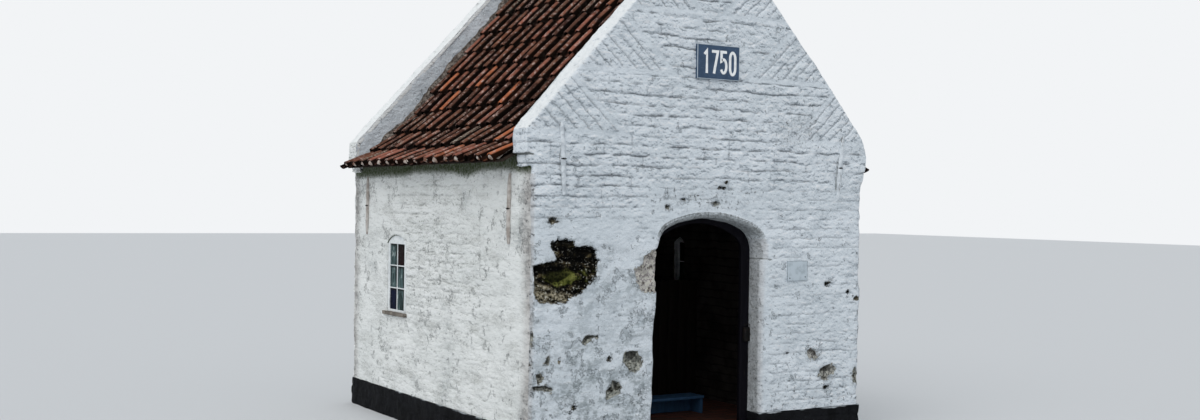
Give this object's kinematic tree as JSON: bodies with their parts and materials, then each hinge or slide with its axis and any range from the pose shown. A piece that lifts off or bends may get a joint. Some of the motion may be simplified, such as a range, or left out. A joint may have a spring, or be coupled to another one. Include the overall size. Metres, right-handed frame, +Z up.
{
  "type": "wayside shrine",
  "caption": "Small limewashed brick wayside shrine with a pantiled roof between raised gables, an arched doorway with a hinged ledged door, and a coloured window in each side.",
  "frame": {"origin": "on the ground at the centre of the plan", "axes": "+X to the right along the front, +Y from the front to the rear, +Z up; the doorway faces -Y"},
  "size_m": [3.38, 3.354, 4.012],
  "materials": {
    "limewash": "thick limewash over brickwork, cracked and flaked to the brick in patches",
    "tar": "coal tar brushed on brickwork, worn off in spots",
    "floor_brick": "worn floor bricks",
    "bluestone": "sawn bluestone, weathered",
    "pantile": "fired clay pantiles, dark with age, lichen and moss",
    "timber": "sawn softwood, darkened",
    "frame_paint": "white painted timber",
    "window_glass": "old window glass, clear, red and blue panes",
    "limewashed_iron": "wrought iron limewashed with the wall, rust bleeding through",
    "slate": "blue-grey painted stone plate with raised pale numerals",
    "plaque_enamel": "white enamelled plate, bare",
    "door_paint": "dark painted timber",
    "iron": "black forged iron",
    "blue_paint": "blue painted boards, worn pale on the edges"
  },
  "bodies": {
    "building": {"plinth_front_left": "tar", "plinth_front_right": "tar", "plinth_left": "tar", "plinth_right": "tar", "plinth_rear": "tar", "floor": "floor_brick", "door_sill": "bluestone", "front_wall_left": "limewash", "front_wall_right": "limewash", "front_gable": "limewash", "rear_wall": "limewash", "left_wall": "limewash", "right_wall": "limewash", "kneeler_front_left": "limewash", "kneeler_front_right": "limewash", "kneeler_rear_left": "limewash", "kneeler_rear_right": "limewash", "roof_tiles_left": "pantile", "roof_tiles_right": "pantile", "ridge_tiles": "pantile", "roof_boards_left": "timber", "roof_boards_right": "timber", "rafters": "timber", "ridge_beam": "timber", "wall_plates": "timber", "window_frame_left": "frame_paint", "window_frame_right": "frame_paint", "window_glass_left": "window_glass", "window_glass_right": "window_glass", "window_sill_left": "bluestone", "window_sill_right": "bluestone", "anchors_front": "limewashed_iron", "anchors_rear": "limewashed_iron", "anchors_left": "limewashed_iron", "anchors_right": "limewashed_iron", "date_plate": "slate", "notice_plaque": "plaque_enamel", "door_frame": "door_paint", "door_pintles": "iron", "latch_box": "iron", "kneeling_bench": "blue_paint", "altar_screen": "timber"},
    "door": {"door_leaf": "door_paint", "door_ledges": "door_paint", "door_ironwork": "iron"}
  },
  "joints": [
    {"name": "door_hinge", "type": "hinge", "parent": "building", "child": "door", "pos_m": [-0.425, -1.445, 0], "axis": [0, 0, 1], "range_deg": [-90, 15]}
  ]
}
